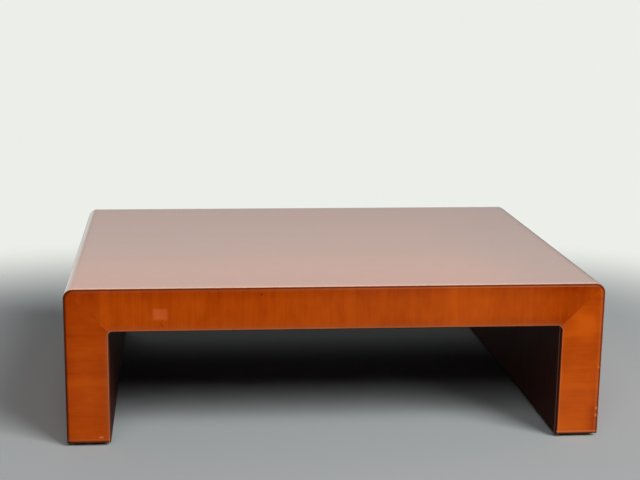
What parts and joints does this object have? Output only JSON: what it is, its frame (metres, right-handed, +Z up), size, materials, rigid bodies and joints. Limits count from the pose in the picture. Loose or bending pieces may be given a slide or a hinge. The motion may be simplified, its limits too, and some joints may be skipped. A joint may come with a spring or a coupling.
{
  "type": "waterfall coffee table",
  "caption": "Low waterfall coffee table: veneered top and slab legs form one arch with rounded, mitred corners, open at front and back, on recessed black plinths with glides.",
  "frame": {"origin": "on the floor, under the middle of the table", "axes": "+X along the length, +Y from the front to the back, +Z up"},
  "size_m": [1.22, 1, 0.365],
  "materials": {
    "cherry_veneer": "red-brown stain under a clear gloss lacquer",
    "plywood": "bare birch plywood",
    "frame_timber": "planed softwood, bare",
    "plinth_black": "matt black paint",
    "nylon": "moulded nylon",
    "zinc_steel": "bright zinc"
  },
  "bodies": {
    "root": {"outer_veneer": "cherry_veneer", "inner_veneer": "cherry_veneer", "front_apron_veneer": "cherry_veneer", "front_left_leg_veneer": "cherry_veneer", "front_right_leg_veneer": "cherry_veneer", "back_apron_veneer": "cherry_veneer", "back_left_leg_veneer": "cherry_veneer", "back_right_leg_veneer": "cherry_veneer", "top_outer_skin": "plywood", "top_inner_skin": "plywood", "top_front_rail": "frame_timber", "top_back_rail": "frame_timber", "top_left_mitre_rail": "frame_timber", "top_right_mitre_rail": "frame_timber", "top_long_rib_1": "plywood", "top_long_rib_2": "plywood", "top_cross_rib_1": "plywood", "top_cross_rib_2": "plywood", "top_cross_rib_3": "plywood", "top_cross_rib_4": "plywood", "top_cross_rib_5": "plywood", "left_leg_outer_skin": "plywood", "left_leg_inner_skin": "plywood", "left_leg_front_stile": "frame_timber", "left_leg_back_stile": "frame_timber", "left_leg_mitre_rail": "frame_timber", "left_leg_foot_rail": "frame_timber", "left_leg_upright_rib_1": "plywood", "left_leg_upright_rib_2": "plywood", "left_leg_cross_rib": "plywood", "left_mitre_spline": "plywood", "left_inside_bead": "frame_timber", "left_plinth": "plinth_black", "right_leg_outer_skin": "plywood", "right_leg_inner_skin": "plywood", "right_leg_front_stile": "frame_timber", "right_leg_back_stile": "frame_timber", "right_leg_mitre_rail": "frame_timber", "right_leg_foot_rail": "frame_timber", "right_leg_upright_rib_1": "plywood", "right_leg_upright_rib_2": "plywood", "right_leg_cross_rib": "plywood", "right_mitre_spline": "plywood", "right_inside_bead": "frame_timber", "right_plinth": "plinth_black", "glides": "nylon", "glide_nails": "zinc_steel"}
  },
  "joints": []
}
